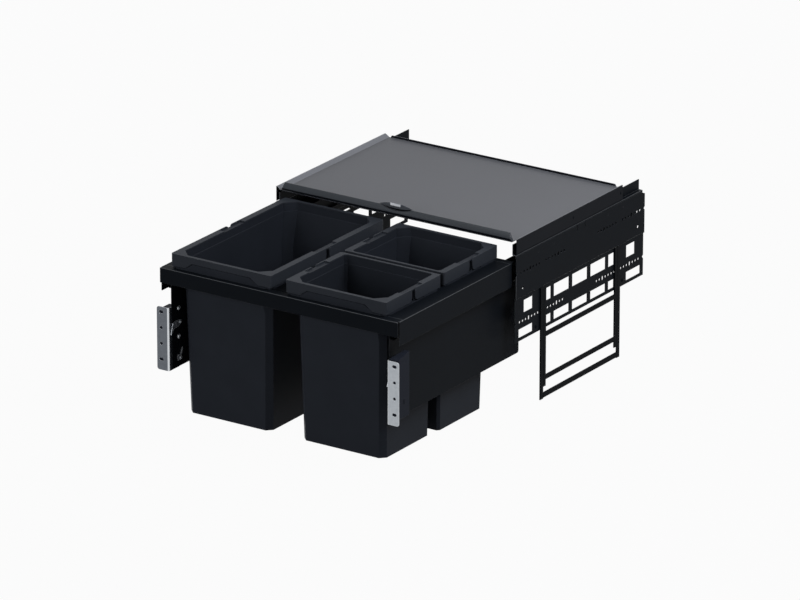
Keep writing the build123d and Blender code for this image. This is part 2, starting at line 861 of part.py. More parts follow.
def panel_screw(y, z):
    """Screw with a round head on the panel's inner face, through the bracket's flange."""
    head = rod(panel_inner - head_height, panel_inner, y, z, head_radius)
    head = fillet(head.edges().group_by(Axis.X)[0], head_height * 0.6)
    return head + rod(panel_inner, bracket_flange_outer - slide_gap, y, z, head_shank_radius)


def adjusting_lever(pin, outline):
    """Flat lever on the panel's inner face, held by a pin through the bracket's flange."""
    y, z = pin
    lever = sheet_outline([(y + dy, z + dz) for dy, dz in outline], panel_inner - lever_thickness, lever_thickness)
    head = rod(panel_inner - pin_height, panel_inner, y, z, pin_radius)
    return lever + head + rod(panel_inner, bracket_flange_outer - slide_gap, y, z, head_shank_radius)


save_pair("fixing_bracket", fixing_bracket())
save("bracket_housing_right", bracket_housing(0, housing_rise))
save("bracket_housing_left", mirror(bracket_housing(housing_left_drop, 0), Plane.YZ))
screws = [panel_screw(head_y, -drop) for drop in head_drops]
save("panel_screws", *screws, *[mirror(screw, Plane.YZ) for screw in screws])
levers = [adjusting_lever(upper_pin, upper_lever), adjusting_lever(lower_pin, lower_lever)]
save("adjusting_cams", *levers, *[mirror(lever, Plane.YZ) for lever in levers])


# ---------------------------------------------------------------- bins

def octagon(box, cuts, z):
    """A rectangle x0, x1, y0, y1 at a height, with its front and back corners cut off."""
    x0, x1, y0, y1 = box
    front, back = cuts
    points = (
        (x0 + front, y0),
        (x1 - front, y0),
        (x1, y0 + front),
        (x1, y1 - back),
        (x1 - back, y1),
        (x0 + back, y1),
        (x0, y1 - back),
        (x0, y0 + front),
    )
    return Plane(origin=(0, 0, z)) * make_face(Polyline(*points, close=True))


def inset(box, left, right, front, back):
    x0, x1, y0, y1 = box
    return (x0 + left, x1 - right, y0 + front, y1 - back)


def bin_levels(divided, left_inset, right_inset):
    """Heights and insets of the bin's inner surface: z, left, right, front, back and corner cuts."""
    sides = (left_inset + bin_wall, right_inset + bin_wall)
    rim_back = bail_division_width if divided else bail_end_width
    body_back = (bin_division_inset if divided else bin_end_inset) + bin_wall
    back_draft = bin_division_draft if divided else bin_end_draft
    rim_cuts = (mouth_chamfer, division_chamfer if divided else mouth_chamfer)
    body_cuts = (inner_chamfer, division_chamfer if divided else inner_chamfer)
    rim = (bail_side_width, bail_side_width, bail_end_width, rim_back)
    above_ledge = [value + mouth_draft for value in rim]
    below_ledge = [value + mouth_draft + ledge_width for value in rim]
    body = (*sides, bin_end_inset + bin_wall, body_back)
    foot = (
        sides[0] + bin_side_draft,
        sides[1] + bin_side_draft,
        bin_end_inset + bin_wall + bin_end_draft,
        body_back + back_draft,
    )
    ledge_z = ledge_height + rest_gap
    return (
        (rim_top, rim, rim_cuts),
        (ledge_z, above_ledge, rim_cuts),
        (ledge_z - ledge_drop, below_ledge, rim_cuts),
        (-body_top, body, body_cuts),
        (bin_wall - bin_depth, foot, body_cuts),
    )


def bin_shape(box, levels, grow):
    """Stacks tapered blocks between the levels, grown outwards by a wall."""
    sections = []
    for z, sides, cuts in levels:
        sections.append(octagon(inset(box, *[side - grow for side in sides]), cuts, z))
    shape = None
    for upper, lower in zip(sections, sections[1:]):
        stage = loft([lower, upper], ruled=True)
        shape = stage if shape is None else shape + stage
    return shape


def base_rim(box, collar_box):
    """Low rim round the collar's foot, lower beside the bails' tails, which dip as the bails swing up."""
    middle = (box[2] + box[3]) / 2
    outline = inset(box, *[base_rim_inset] * 4)
    rim = extrude(octagon(outline, (base_rim_chamfer, base_rim_chamfer), rest_gap), base_rim_top - rest_gap)
    rim -= block(*inset(collar_box, *[rim_wall / 2] * 4), rest_gap - 1, base_rim_top + 1)
    low_from, low_to = middle - base_rim_low_reach, middle + base_rim_low_reach
    return rim - block(box[0] - 1, box[1] + 1, low_from, low_to, base_rim_low_top, base_rim_top + 1)


def tongue(box):
    """Raised field on the collar's end that fills the bail's finger cut-out, with a gap round it."""
    x0, x1, y0, y1 = box
    top = bail_bottom + grip_cut_height - tongue_gap
    foot_in = grip_cut_margin + 2 * tongue_gap
    top_in = foot_in + grip_cut_slope
    points = (
        (x0 + foot_in, rest_gap),
        (x1 - foot_in, rest_gap),
        (x1 - foot_in, bail_bottom),
        (x1 - top_in, top),
        (x0 + top_in, top),
        (x0 + foot_in, bail_bottom),
    )
    return profile(points, y0 + base_rim_inset, collar_inset)


def waste_bin(box, divided, left_inset, right_inset):
    """Moulded bin: a tapered body, a rim, and a collar that rests on the drawer's frame."""
    x0, x1, y0, y1 = box
    levels = bin_levels(divided, left_inset, right_inset)
    outer_cuts = (outer_chamfer, levels[-1][2][1] if divided else outer_chamfer)
    outer_levels = (*levels[:3], (*levels[3][:2], outer_cuts), (-bin_depth, levels[4][1], outer_cuts))
    collar_box = inset(box, *[collar_inset] * 4)
    collar = block(*collar_box, rest_gap, rim_top)
    collar -= block(*inset(collar_box, *[rim_wall] * 4), rest_gap - 1, rim_top - rim_wall)
    cavity = bin_shape(box, levels, 0)
    body = collar + bin_shape(box, outer_levels, bin_wall)
    body += base_rim(box, collar_box)
    body += tongue(box)
    if not divided:
        body += turned(tongue(box), box)
    body -= cavity
    middle = (y0 + y1) / 2
    notch_reach = notch_width / 2 - collar_notch_margin
    for x in (x0 + collar_inset, x1 - collar_inset):
        body -= block(
            x - 1.5 * rim_wall,
            x + 1.5 * rim_wall,
            middle - notch_reach,
            middle + notch_reach,
            base_rim_top,
            rim_top - rim_wall,
        )
    for y in (middle - pivot_offset, middle + pivot_offset):
        reach = bail_gap + pivot_reach
        body += rod(x0 + collar_inset - reach, x0 + collar_inset, y, pivot_height, pivot_radius)
        body += rod(x1 - collar_inset, x1 - collar_inset + reach, y, pivot_height, pivot_radius)
    return body


def bail(box, divided):
    """U-shaped handle strip round the front half of a bin, hinged beside the bin's middle."""
    x0, x1, y0, y1 = box
    middle = (y0 + y1) / 2
    tail = middle - notch_width / 2
    strip = block(x0, x1, y0, tail, bail_bottom, bail_top)
    tail_edges = strip.edges().filter_by(Axis.X).group_by(Axis.Y)[-1].sort_by(Axis.Z)
    strip = fillet(tail_edges[0], tail_bottom_radius)
    tail_edge = strip.edges().filter_by(Axis.X).group_by(Axis.Z)[-1].sort_by(Axis.Y)[-1]
    strip = fillet(tail_edge, tail_top_radius)
    strip = fillet(strip.edges().filter_by(Axis.Z).group_by(Axis.Y)[0], bail_corner_radius)
    inside = block(x0 + bail_wall, x1 - bail_wall, y0 + bail_wall, y1, bail_bottom - 1, bail_top - bail_flange)
    top_end = division_chamfer if divided else mouth_chamfer
    end_width = bail_division_width if divided else bail_end_width
    mouth_box = (x0 + bail_side_width, x1 - bail_side_width, y0 + end_width, y1 + top_end)
    mouth = extrude(octagon(mouth_box, (top_end, top_end), bail_top - bail_flange - 1), bail_flange + 2)
    beside = block(
        x0 + bail_wall, x1 - bail_wall, middle - flange_stop, y1, bail_top - bail_flange - 1, bail_top + 1
    )
    cuts = [inside, mouth, beside]
    if not divided:
        cuts.append(grip_cut(x0, x1, y0))
    hole_depth = pivot_reach + slide_gap
    for x_inner, side in ((x0 + bail_wall, -1), (x1 - bail_wall, 1)):
        ends = sorted((x_inner - side, x_inner + side * hole_depth))
        cuts.append(rod(*ends, middle - pivot_offset, pivot_height, pivot_radius + pivot_clearance))
    return strip - cuts


def grip_cut(x0, x1, y0):
    """Finger cut-out in the bail's end wall, with sloping ends."""
    top = bail_bottom + grip_cut_height
    points = (
        (x0 + grip_cut_margin, bail_bottom - 1),
        (x1 - grip_cut_margin, bail_bottom - 1),
        (x1 - grip_cut_margin - grip_cut_slope, top),
        (x0 + grip_cut_margin + grip_cut_slope, top),
    )
    return profile(points, y0 - 1, bail_wall + 2)


def turned(shape, box):
    """The same piece turned half a turn about the middle of a box."""
    x0, x1, y0, y1 = box
    x, y = (x0 + x1) / 2, (y0 + y1) / 2
    return Pos(x, y, 0) * Rot(0, 0, 180) * Pos(-x, -y, 0) * shape


large_box = (-large_bin_left, -large_bin_left + large_bin_width, bins_front, bins_back)
small_column = (small_bin_left, small_bin_right, bins_front, bins_back)
small_box = (small_bin_left, small_bin_right, bins_front, bins_front + small_bin_length)
large_bail = bail(large_box, False)
outer_bail = bail(small_box, False)
inner_bail = turned(bail(small_box, True), small_box)
small_bin = waste_bin(small_box, True, small_bin_wide_inset, small_bin_narrow_inset)
save("large_bin", waste_bin(large_box, False, large_bin_left_inset, large_bin_right_inset))
save("large_bin_bail_front", large_bail)
save("large_bin_bail_rear", turned(large_bail, large_box))
save("small_front_bin", small_bin)
save("small_front_bin_bail_front", outer_bail)
save("small_front_bin_bail_rear", inner_bail)
save("small_rear_bin", turned(small_bin, small_column))
save("small_rear_bin_bail_front", turned(inner_bail, small_column))
save("small_rear_bin_bail_rear", turned(outer_bail, small_column))
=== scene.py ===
# Pull-out waste unit for a 600 mm kitchen base cabinet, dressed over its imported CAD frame.
import json
import math

import bmesh
import bpy
import numpy as np
from mathutils import Matrix, Vector


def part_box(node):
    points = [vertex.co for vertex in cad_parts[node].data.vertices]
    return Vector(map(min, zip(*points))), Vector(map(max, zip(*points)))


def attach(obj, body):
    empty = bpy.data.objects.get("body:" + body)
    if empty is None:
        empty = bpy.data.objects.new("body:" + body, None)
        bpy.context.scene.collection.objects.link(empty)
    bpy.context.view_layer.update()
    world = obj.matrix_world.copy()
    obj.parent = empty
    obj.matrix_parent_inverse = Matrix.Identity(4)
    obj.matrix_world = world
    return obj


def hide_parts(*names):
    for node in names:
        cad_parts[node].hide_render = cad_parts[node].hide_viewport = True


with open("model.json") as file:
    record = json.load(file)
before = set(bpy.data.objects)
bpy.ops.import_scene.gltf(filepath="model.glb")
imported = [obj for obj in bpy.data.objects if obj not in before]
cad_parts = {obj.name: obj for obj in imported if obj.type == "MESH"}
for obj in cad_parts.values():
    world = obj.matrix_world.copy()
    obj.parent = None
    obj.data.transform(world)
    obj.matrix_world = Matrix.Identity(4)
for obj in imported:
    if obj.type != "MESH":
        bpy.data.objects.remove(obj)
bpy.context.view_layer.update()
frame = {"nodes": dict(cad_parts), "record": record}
print("frame loaded:", len(frame["nodes"]), "nodes")

scene = bpy.context.scene


view = {
    "target": (0.0, -0.3231, 0.226),  # a point inside the drawer, between the bins
    "azimuth": 33.714,
    "elevation": 20.286,
    "distance": 14.15383,
    "lens": 333.452,
    "sensor": 36,
    "clipEnd": 60,
    "across": 0.06294,  # how far the aim lies off the target, in metres
    "down": 0.02113,
}


def makeCamera(settings):
    az, el = math.radians(settings["azimuth"]), math.radians(settings["elevation"])
    right = Vector((math.cos(az), math.sin(az), 0))
    forward = Vector((-math.sin(az) * math.cos(el), math.cos(az) * math.cos(el), -math.sin(el)))
    up = right.cross(forward)
    data = bpy.data.cameras.new("camera")
    data.lens = settings["lens"]
    data.sensor_width = settings["sensor"]
    data.clip_end = settings["clipEnd"]
    camera = bpy.data.objects.new("camera", data)
    place = Vector(settings["target"]) - forward * settings["distance"]
    place += right * settings["across"] - up * settings["down"]
    turn = Matrix((right, up, -forward)).transposed().to_4x4()
    camera.matrix_world = Matrix.Translation(place) @ turn
    scene.collection.objects.link(camera)
    scene.camera = camera


lamps = {
    "softboxOverhead": {"place": (0.3, -0.1, 3.3), "aim": (0, -0.2, 0.2), "size": 2.2,
                        "power": 5, "tint": "#FFFFFF"},
    "softboxRight": {"place": (1.5, -0.25, 1.7), "aim": (0, -0.3, 0.2), "size": 1.0,
                     "power": 29, "tint": "#F2F6FF"},
    "softboxFront": {"place": (-0.7, -3.6, 1.4), "aim": (0, -0.4, 0.15), "size": 1.4,
                     "power": 45, "tint": "#F8FAFF"},
    "softboxBack": {"place": (-0.4, 3.4, 0.8), "aim": (0, 0, 0.2), "size": 1.5,
                    "power": 46, "tint": "#F4F6FF"},
    "softboxLeft": {"place": (-3.1, 0.5, 1.0), "aim": (0, -0.2, 0.2), "size": 1.5,
                    "power": 50, "tint": "#F4F6FF"},
}


def makeLamp(name, settings):
    data = bpy.data.lights.new(name, "AREA")
    data.shape = "SQUARE"
    data.size = settings["size"]
    data.energy = settings["power"]
    data.color = toLinear(settings["tint"])[:3]
    lamp = bpy.data.objects.new(name, data)
    lamp.location = settings["place"]
    away = Vector(settings["aim"]) - Vector(settings["place"])
    lamp.rotation_euler = away.to_track_quat("-Z", "Y").to_euler()
    scene.collection.objects.link(lamp)


def toLinear(hexColour):
    parts = [int(hexColour[i:i + 2], 16) / 255 for i in (1, 3, 5)]
    return [c / 12.92 if c <= 0.04045 else ((c + 0.055) / 1.055) ** 2.4 for c in parts] + [1]


def addNode(tree, kind, settings=None, links=None):
    node = tree.nodes.new(kind)
    for key, value in (settings or {}).items():
        if isinstance(key, int) or key in node.inputs:
            node.inputs[key].default_value = value
        else:
            setattr(node, key, value)
    for key, source in (links or {}).items():
        tree.links.new(source, node.inputs[key])
    return node


def newMaterial(name):
    material = bpy.data.materials.new(name)
    material.use_nodes = True
    material.node_tree.nodes.clear()
    return material, material.node_tree


# Matt seamless paper. To the camera and in reflections it glows nearly white, so no horizon shows, while its
# own tone and the weak world keep the light that it throws back at the object low.
room = {"paper": "#6E6E70", "glow": 0.96, "worldStrength": 0.2, "size": 60}


# 1 for rays from the camera and for reflections, 0 for the light that falls on the object.
def whereSeen(tree):
    path = addNode(tree, "ShaderNodeLightPath")
    mirrored = addNode(tree, "ShaderNodeMath", {"operation": "MAXIMUM"},
                       {0: path.outputs["Is Glossy Ray"], 1: path.outputs["Is Transmission Ray"]})
    return addNode(tree, "ShaderNodeMath", {"operation": "MAXIMUM"},
                   {0: path.outputs["Is Camera Ray"], 1: mirrored.outputs[0]}).outputs[0]


def makeRoom(settings):
    material, tree = newMaterial("matt white seamless paper")
    paper = addNode(tree, "ShaderNodeBsdfDiffuse", {"Color": toLinear(settings["paper"])})
    seen = addNode(tree, "ShaderNodeEmission", {"Color": (1, 1, 1, 1), "Strength": 1.0})
    share = addNode(tree, "ShaderNodeMath", {"operation": "MULTIPLY", 1: settings["glow"]},
                    {0: whereSeen(tree)})
    mix = addNode(tree, "ShaderNodeMixShader", {},
                  {0: share.outputs[0], 1: paper.outputs[0], 2: seen.outputs[0]})
    addNode(tree, "ShaderNodeOutputMaterial", {}, {"Surface": mix.outputs[0]})
    half = settings["size"] / 2
    mesh = bpy.data.meshes.new("floor")
    corners = [(-half, -half, 0), (half, -half, 0), (half, half, 0), (-half, half, 0)]
    mesh.from_pydata(corners, [], [(0, 1, 2, 3)])
    floor = bpy.data.objects.new("floor", mesh)
    mesh.materials.append(material)
    scene.collection.objects.link(floor)
    world = bpy.data.worlds.new("soft room")
    world.use_nodes = True
    sky = world.node_tree
    strength = addNode(sky, "ShaderNodeMapRange", {3: settings["worldStrength"], 4: 1.0},
                       {0: whereSeen(sky)})
    background = sky.nodes["Background"]
    background.inputs["Color"].default_value = (1, 1, 1, 1)
    sky.links.new(strength.outputs[0], background.inputs["Strength"])
    scene.world = world
    scene.view_settings.view_transform = "Standard"


makeCamera(view)
for lampName, lampSettings in lamps.items():
    makeLamp(lampName, lampSettings)
makeRoom(room)
print("camera, lamps and floor made")

slotOf = {part["node"]: part["material_slot"] for part in frame["record"]["subparts"]}
bodies = frame["record"]["behaviour"]["bodies"]
bodyOf = {node: body for body, members in bodies.items() for node in members}


# Noise with features of about the given size in millimetres.
def addNoise(tree, place, sizeMm, detail):
    values = {"Scale": 1000 / sizeMm, "Detail": detail}
    return addNode(tree, "ShaderNodeTexNoise", values, {"Vector": place}).outputs["Fac"]


def objectPlace(tree):
    return addNode(tree, "ShaderNodeTexCoord").outputs["Object"]


# A colour that drifts from the finish's dark tone to its light one with a pattern.
def toneFrom(tree, settings, pattern):
    tones = {"data_type": "RGBA", 6: toLinear(settings["dark"]), 7: toLinear(settings["light"])}
    return addNode(tree, "ShaderNodeMix", tones, {0: pattern}).outputs[2]


def glossFrom(tree, settings, pattern):
    low, high = (settings["roughness"] + step for step in settings["spread"])
    return addNode(tree, "ShaderNodeMapRange", {3: low, 4: high}, {0: pattern}).outputs[0]


def reliefFrom(tree, strength, height, pattern):
    values = {"Strength": strength, "Distance": height}
    return addNode(tree, "ShaderNodeBump", values, {"Height": pattern}).outputs[0]


def finishSurface(material, values, colour, gloss, relief):
    tree = material.node_tree
    links = {"Base Color": colour, "Roughness": gloss, "Normal": relief}
    surface = addNode(tree, "ShaderNodeBsdfPrincipled", values, links)
    addNode(tree, "ShaderNodeOutputMaterial", {}, {"Surface": surface.outputs[0]})
    return material


# Injection-moulded polypropylene from a spark-eroded tool: a soft broad sheen, a fine even grain, a slightly
# blue black. Heights are in metres, and the spread is what the pattern takes from and adds to the roughness.
binPlastic = {"dark": "#23262B", "light": "#292C32", "roughness": 0.44, "spread": (-0.04, 0.05),
              "grainMm": 0.9, "grainDepth": 0.05, "grainHeight": 0.0004, "mottleMm": 60, "specular": 0.03,
              "ior": 1.49}


def makeMouldedPlastic(name, settings):
    material, tree = newMaterial(name)
    place = objectPlace(tree)
    mottle = addNoise(tree, place, settings["mottleMm"], 3.0)
    grain = addNoise(tree, place, settings["grainMm"], 2.0)
    colour = toneFrom(tree, settings, mottle)
    relief = reliefFrom(tree, settings["grainDepth"], settings["grainHeight"], grain)
    values = {"IOR": settings["ior"], "Specular IOR Level": settings["specular"]}
    return finishSurface(material, values, colour, glossFrom(tree, settings, grain), relief)


# Powder-coated steel sheet, anthracite: satin, with the slight orange peel of a cured powder and tiny light
# specks, which begin where their noise passes speckFrom and are full at speckFull.
coatedSteel = {"dark": "#0E1115", "light": "#14171B", "speck": "#22262B", "roughness": 0.4,
               "spread": (-0.05, 0.05), "peelMm": 1.6, "peelDepth": 0.12, "peelHeight": 0.0003,
               "speckMm": 0.8, "speckFrom": 0.68, "speckFull": 0.78, "mottleMm": 90, "specular": 0.02}


def makePowderCoat(name, settings):
    material, tree = newMaterial(name)
    place = objectPlace(tree)
    mottle = addNoise(tree, place, settings["mottleMm"], 4.0)
    specks = addNoise(tree, place, settings["speckMm"], 1.0)
    peel = addNoise(tree, place, settings["peelMm"], 1.5)
    share = addNode(tree, "ShaderNodeMapRange", {1: settings["speckFrom"], 2: settings["speckFull"]},
                    {0: specks})
    colour = addNode(tree, "ShaderNodeMix", {"data_type": "RGBA", 7: toLinear(settings["speck"])},
                     {0: share.outputs[0], 6: toneFrom(tree, settings, mottle)}).outputs[2]
    relief = reliefFrom(tree, settings["peelDepth"], settings["peelHeight"], peel)
    values = {"Specular IOR Level": settings["specular"]}
    return finishSurface(material, values, colour, glossFrom(tree, settings, mottle), relief)


# Zinc-plated steel: a bright silver grey with a faint blue cast, soft crystalline patches and rolling marks.
zincPlate = {"dark": "#8E9399", "light": "#B4B8BC", "roughness": 0.36, "spread": (-0.06, 0.08),
             "patchMm": 5, "patchTones": (0.35, 0.65), "rollMm": 0.7, "rollStretch": 0.04,
             "rollDepth": 0.08, "rollHeight": 0.0002, "metallic": 1.0}


def makeZincPlate(name, settings):
    material, tree = newMaterial(name)
    place = objectPlace(tree)
    patches = addNode(tree, "ShaderNodeTexVoronoi", {"Scale": 1000 / settings["patchMm"]},
                      {"Vector": place})
    low, high = settings["patchTones"]
    tone = addNode(tree, "ShaderNodeMapRange", {3: low, 4: high}, {0: patches.outputs["Color"]})
    drawn = addNode(tree, "ShaderNodeMapping", {"Scale": (1, 1, settings["rollStretch"])},
                    {"Vector": place})
    marks = addNoise(tree, drawn.outputs[0], settings["rollMm"], 2.0)
    colour = toneFrom(tree, settings, tone.outputs[0])
    relief = reliefFrom(tree, settings["rollDepth"], settings["rollHeight"], marks)
    values = {"Metallic": settings["metallic"]}
    return finishSurface(material, values, colour, glossFrom(tree, settings, marks), relief)


finishes = {
    "bin_plastic": makeMouldedPlastic("moulded polypropylene, bin black", binPlastic),
    # the bails come from another tool: lighter and a little smoother than the bins
    "bail_plastic": makeMouldedPlastic("moulded polypropylene, bail black", {
        **binPlastic, "dark": "#2D3035", "light": "#33363B", "roughness": 0.4}),
    "coated_steel": makePowderCoat("powder-coated steel, anthracite", coatedSteel),
    # the cover's coat is a mid slate grey, with a finer peel than the frame's
    "cover_coat": makePowderCoat("satin-coated steel, slate", {
        **coatedSteel, "dark": "#5C5D60", "light": "#636467", "speck": "#6E6F72", "roughness": 0.34,
        "peelMm": 0.9, "peelDepth": 0.06, "specular": 0.05}),
    # painted shade: the cover sheet's borders, flange and underside take a nearly black copy of its coat,
    # beside its top
    "edge_coat": makePowderCoat("satin-coated steel, painted shade", {
        **coatedSteel, "dark": "#15171B", "light": "#1A1C20", "roughness": 0.3, "peelDepth": 0.05}),
    # moulded in a polished tool: nearly black, with almost no grain
    "lip_plastic": makeMouldedPlastic("moulded ABS, lip", {
        **binPlastic, "dark": "#0A0C10", "light": "#0E1014", "roughness": 0.28, "grainDepth": 0.02}),
    # the fixing brackets: the brightest metal on the unit
    "bracket_steel": makeZincPlate("zinc-plated steel", zincPlate),
    # turned screws and stamped levers: passivated, so they keep some body colour
    "fixing_steel": makeZincPlate("zinc-plated screw", {
        **zincPlate, "dark": "#A4A8AC", "light": "#BCC0C4", "roughness": 0.34, "patchMm": 2,
        "metallic": 0.8}),
    # the bracket housings: a dark matt moulding with a blue cast
    "housing_plastic": makeMouldedPlastic("moulded polyamide, housing", {
        **binPlastic, "dark": "#1E2128", "light": "#22252D", "roughness": 0.46}),
    # the cover's glides: smooth, with a slight shine
    "glide_plastic": makeMouldedPlastic("moulded acetal, glide", {
        **binPlastic, "dark": "#202226", "light": "#24262A", "roughness": 0.3, "grainDepth": 0.01}),
    # the only pale piece: a smooth plate on the cover's grip
    "badge_plastic": makeMouldedPlastic("moulded ABS, pale insert", {
        **binPlastic, "dark": "#E6E8EB", "light": "#F0F1F3", "roughness": 0.25, "grainDepth": 0.01}),
}
# Folds and rims are worn smooth in use, so they are glossier than the flat faces beside them; their lighter
# colour is a painted highlight along each fold.
rubbedWithPaintedHighlight = {
    "bail_plastic": makeMouldedPlastic("moulded polypropylene, rim with painted highlight", {
        **binPlastic, "dark": "#34373C", "light": "#3A3D42", "roughness": 0.3, "specular": 0.5,
        "grainDepth": 0.02}),
    "coated_steel": makePowderCoat("powder-coated steel, fold with painted highlight", {
        **coatedSteel, "dark": "#24282D", "light": "#2B2F34", "roughness": 0.3, "peelDepth": 0.04,
        "specular": 0.5}),
    "cover_coat": makePowderCoat("satin-coated steel, fold with painted highlight", {
        **coatedSteel, "dark": "#64666C", "light": "#6A6C72", "roughness": 0.3, "peelDepth": 0.03,
        "specular": 0.5}),
    "lip_plastic": makeMouldedPlastic("moulded ABS, bevel with painted highlight", {
        **binPlastic, "dark": "#1A2028", "light": "#1E242C", "roughness": 0.24, "specular": 0.5,
        "grainDepth": 0.01}),
    "bracket_steel": makeZincPlate("zinc-plated steel, bend with painted highlight", {
        **zincPlate, "dark": "#C4C8CC", "light": "#D6D9DC", "roughness": 0.24}),
}
special = {
    # the left bracket's plate is darkened as painted shade, for the darker surroundings that it reflects
    "shadedZinc": makeZincPlate("zinc-plated steel, painted shade", {
        **zincPlate, "dark": "#54585D", "light": "#6B6F75", "roughness": 0.42}),
    # legs, runners and the centre rail take a deeper black than the sheets: painted shade on the runners and
    # the centre rail, which sit in the dark, and a darker coat on the legs
    "blackCoatAndPaintedShade": makePowderCoat("powder-coated steel, black with painted shade", {
        **coatedSteel, "dark": "#080A0D", "light": "#0C0E11", "speck": "#1C1F24"}),
    # a blue grey lit copy of the lip's ABS on its slope: a painted reflection of the room
    "lipPaintedReflection": makeMouldedPlastic("moulded ABS, lip with painted reflection", {
        **binPlastic, "dark": "#181F26", "light": "#1D252D", "roughness": 0.34, "specular": 0.3,
        "grainDepth": 0.02}),
    # the grip in the lip's recess is painted a lighter grey: painted light, where its face catches the lamps
    "gripPaintedLight": makeMouldedPlastic("moulded ABS, grip with painted light", {
        **binPlastic, "dark": "#4A4D52", "light": "#54575C", "roughness": 0.3, "specular": 0.3,
        "grainDepth": 0.02}),
}
print("finishes made:", len(finishes) + len(rubbedWithPaintedHighlight) + len(special))


# How each kind of piece has its edges rounded, in metres: outer folds, inner folds and the borders of sheets.
# An edge is a border where a face beside it is narrower than wide.
families = {
    "bin": {"fold": 0.0048, "inner": 0.003, "border": 0.0007, "wide": 0.004, "segments": 4},
    "bail": {"fold": 0.0022, "inner": 0.001, "border": 0.0007, "wide": 0.0035, "segments": 3},
    "sheet": {"fold": 0.0019, "inner": 0.0006, "border": 0.0003, "wide": 0.0035, "segments": 3},
    "panel": {"fold": 0.0003, "inner": 0.0003, "border": 0.0003, "wide": 0.0035, "segments": 2},
    "plate": {"fold": 0.0016, "inner": 0.0006, "border": 0.00025, "wide": 0.0035, "segments": 2},
    "leg": {"fold": 0.0004, "inner": 0.0004, "border": 0.0004, "wide": 0.0035, "segments": 2},
    "small": {"fold": 0.0004, "inner": 0.0003, "border": 0.0002, "wide": 0.003, "segments": 2},
    "lip": {"fold": 0.0012, "inner": 0.0004, "border": 0.0005, "wide": 0.003, "segments": 3},
}


def familyOf(nodeName):
    if "bail" in nodeName:
        return "bail"
    if nodeName.endswith("_bin"):
        return "bin"
    if nodeName.startswith("side_plate"):
        return "plate"
    if nodeName.startswith(("side_panel", "fixing_bracket")):
        return "panel"
    if "_leg_" in nodeName:
        return "leg"
    if nodeName in ("cover_lip", "cover_grip"):
        return "lip"
    if nodeName in ("panel_screws", "adjusting_cams", "track_rivets", "leg_clamp_screws", "cover_screws",
                    "cover_glides", "cover_badge"):
        return "small"
    return "sheet"


flatAngle = math.radians(0.4)  # two faces that meet at less than this are one flat region
creaseAngle = math.radians(24)  # edges that turn by less than this stay as they are
weldDistance = 2e-6  # points closer than this are one point, in metres
convexSlack = 0.002  # how far past straight a joined face's corner may open, in radians


# A merged copy of a node. Flat faces are joined wherever the result stays convex.
def nodeShell(nodeName):
    shell = bmesh.new()
    shell.from_mesh(frame["nodes"][nodeName].data)
    bmesh.ops.remove_doubles(shell, verts=shell.verts, dist=weldDistance)
    for edge in sorted(shell.edges, key=lambda e: -e.calc_length()):
        if not edge.is_valid or len(edge.link_faces) != 2 or edge.calc_face_angle(0) > flatAngle:
            continue
        corners = [sum(loop.calc_angle() for loop in vert.link_loops if loop.face in edge.link_faces)
                   for vert in edge.verts]
        if max(corners) < math.pi + convexSlack:
            bmesh.utils.face_join(list(edge.link_faces), True)
    return shell


# The points of the flat region that each face belongs to.
def flatRegions(shell):
    regionOf = {}
    for start in shell.faces:
        if start in regionOf:
            continue
        members, queue = {start}, [start]
        while queue:
            face = queue.pop()
            for edge in face.edges:
                for other in edge.link_faces:
                    if other not in members and edge.calc_face_angle(math.pi) < flatAngle:
                        members.add(other)
                        queue.append(other)
        points = np.array([tuple(vert.co) for vert in {v for face in members for v in face.verts}])
        for face in members:
            regionOf[face] = points
    return regionOf


# How far a face's flat region reaches away from one of its edges.
def depthFrom(edge, points):
    start = np.array(edge.verts[0].co)
    along = np.array(edge.verts[1].co) - start
    along /= np.linalg.norm(along)
    reach = points - start
    return np.linalg.norm(reach - np.outer(reach @ along, along), axis=1).max()


# Gives each sharp edge its round, as a share of the widest one, and returns the widest.
def roundShell(shell, settings):
    widest = max(settings["fold"], settings["inner"], settings["border"])
    regionOf = flatRegions(shell)
    layer = shell.edges.layers.float.new("bevel_weight_edge")
    for edge in shell.edges:
        if len(edge.link_faces) != 2 or edge.calc_face_angle(0) < creaseAngle:
            continue
        if min(depthFrom(edge, regionOf[face]) for face in edge.link_faces) < settings["wide"]:
            width = settings["border"]
        elif edge.is_convex:
            width = settings["fold"]
        else:
            width = settings["inner"]
        edge[layer] = width / widest
    return widest


# A scratch object that holds a mesh until its modifiers are baked.
def linkRough(name, mesh):
    rough = bpy.data.objects.new(name + ".rough", mesh)
    scene.collection.objects.link(rough)
    return rough


# Shades the rough object's faces evenly, bakes its modifiers and returns a plain object at the origin.
def bakePiece(name, rough):
    flat = rough.modifiers.new("even shading", "WEIGHTED_NORMAL")
    flat.keep_sharp = True
    bpy.context.view_layer.update()
    depsgraph = bpy.context.evaluated_depsgraph_get()
    baked = bpy.data.meshes.new_from_object(rough.evaluated_get(depsgraph), preserve_all_data_layers=True,
                                            depsgraph=depsgraph)
    rough.modifiers.clear()
    bpy.data.objects.remove(rough)
    baked.name = name
    piece = bpy.data.objects.new(name, baked)
    scene.collection.objects.link(piece)
    return piece


# Gives each edge a round by its bevel weight. The new faces take the folds' finish, with its painted
# highlight, which is the last one.
def bakeRounded(name, mesh, width, segments):
    rough = linkRough(name, mesh)
    modifier = rough.modifiers.new("round edges", "BEVEL")
    modifier.limit_method = "WEIGHT"
    modifier.width = width
    modifier.segments = segments
    modifier.use_clamp_overlap = True
    modifier.material = len(mesh.materials) - 1
    return bakePiece(name, rough)


# The pieces that are drawn as roll-formed sections.
sectionKinds = ("cabinet_runner", "middle_runner", "drawer_runner", "runner_carrier")
sectionNodes = [kind + side for kind in sectionKinds for side in ("_left", "_right")] + ["centre_rail"]
